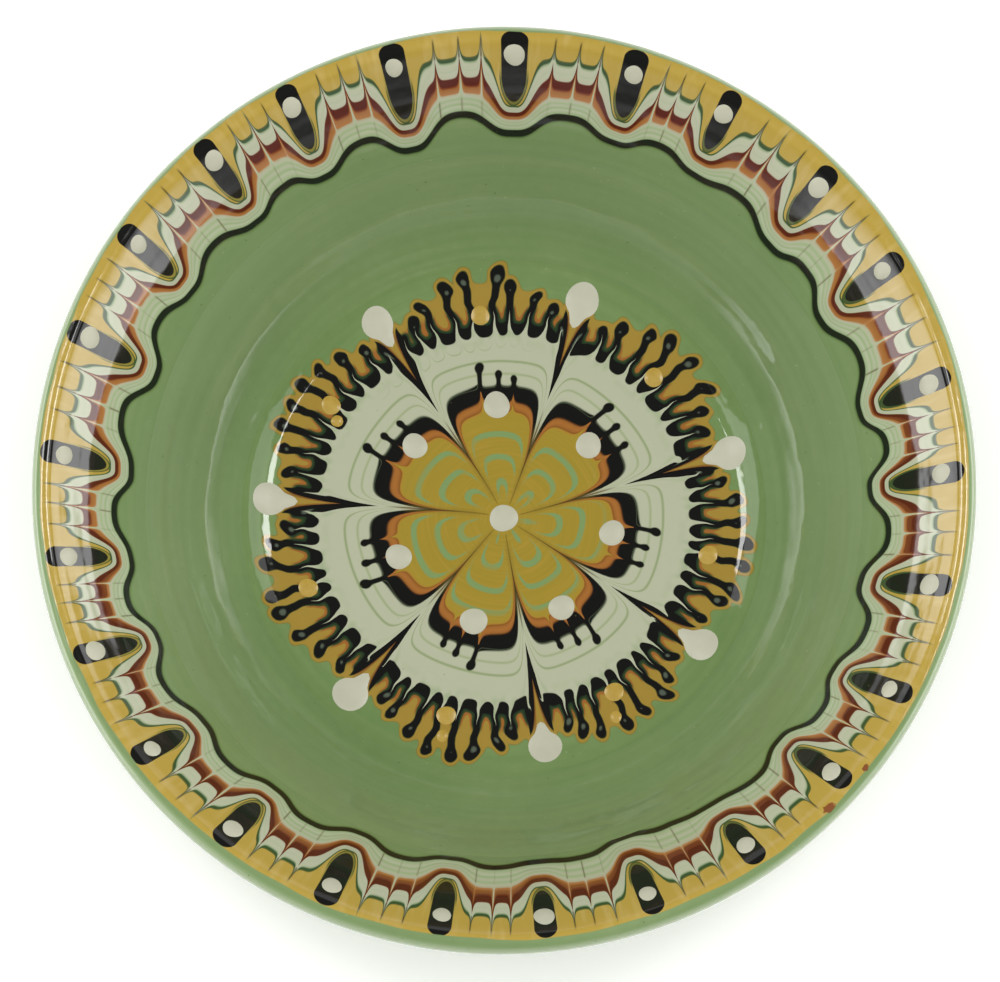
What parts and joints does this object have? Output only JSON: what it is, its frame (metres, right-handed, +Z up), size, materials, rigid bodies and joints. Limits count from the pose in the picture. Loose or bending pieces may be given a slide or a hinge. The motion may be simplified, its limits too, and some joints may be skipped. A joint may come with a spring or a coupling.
{
  "type": "slip-decorated earthenware bowl",
  "caption": "Round hand-thrown bowl-plate on a foot ring, green glazed, with a marbled slip rim band, a seven-petal marbled medallion and raised slip drops.",
  "frame": {"origin": "middle of the foot ring's resting face", "axes": "+Z up along the axis of the bowl; +Y towards the far side of the rim, with a petal of the medallion along it; +X to the right"},
  "size_m": [0.2, 0.2, 0.0548],
  "materials": {
    "fired_clay": "bare fired red earthenware, matt, with turning rings",
    "green_slip": "sage green slip under clear high-gloss glaze",
    "marbled_slip": "amber, white, black, maroon and green slips combed together under clear glaze",
    "cream_slip": "raised cream slip drops under clear glaze",
    "amber_slip": "raised amber slip drops under clear glaze"
  },
  "bodies": {
    "root": {"amber_drop_01": "amber_slip", "amber_drop_02": "amber_slip", "amber_drop_03": "amber_slip", "amber_drop_04": "amber_slip", "amber_drop_05": "amber_slip", "amber_drop_06": "amber_slip", "amber_drop_07": "amber_slip", "amber_second_drop_03": "amber_slip", "amber_second_drop_05": "amber_slip", "amber_second_drop_06": "amber_slip", "centre_drop": "cream_slip", "clay_body": "fired_clay", "field_slip_coat": "green_slip", "foot_ring": "fired_clay", "gap_drop_01": "cream_slip", "gap_drop_02": "cream_slip", "gap_drop_03": "cream_slip", "gap_drop_04": "cream_slip", "gap_drop_05": "cream_slip", "gap_drop_06": "cream_slip", "gap_drop_07": "cream_slip", "medallion_slip": "marbled_slip", "outside_slip_coat": "green_slip", "petal_drop_01": "cream_slip", "petal_drop_02": "cream_slip", "petal_drop_03": "cream_slip", "petal_drop_04": "cream_slip", "petal_drop_05": "cream_slip", "petal_drop_06": "cream_slip", "petal_drop_07": "cream_slip", "rim_band_slip": "marbled_slip", "rim_drop_01": "cream_slip", "rim_drop_02": "cream_slip", "rim_drop_03": "cream_slip", "rim_drop_04": "cream_slip", "rim_drop_05": "cream_slip", "rim_drop_06": "cream_slip", "rim_drop_07": "cream_slip", "rim_drop_08": "cream_slip", "rim_drop_09": "cream_slip", "rim_drop_10": "cream_slip", "rim_drop_11": "cream_slip", "rim_drop_12": "cream_slip", "rim_drop_13": "cream_slip", "rim_drop_14": "cream_slip", "rim_drop_15": "cream_slip", "rim_drop_16": "cream_slip", "rim_drop_17": "cream_slip", "rim_drop_18": "cream_slip", "rim_drop_19": "cream_slip", "rim_drop_20": "cream_slip", "rim_drop_21": "cream_slip", "rim_drop_22": "cream_slip", "rim_drop_23": "cream_slip", "rim_drop_24": "cream_slip", "rim_drop_25": "cream_slip"}
  },
  "joints": []
}
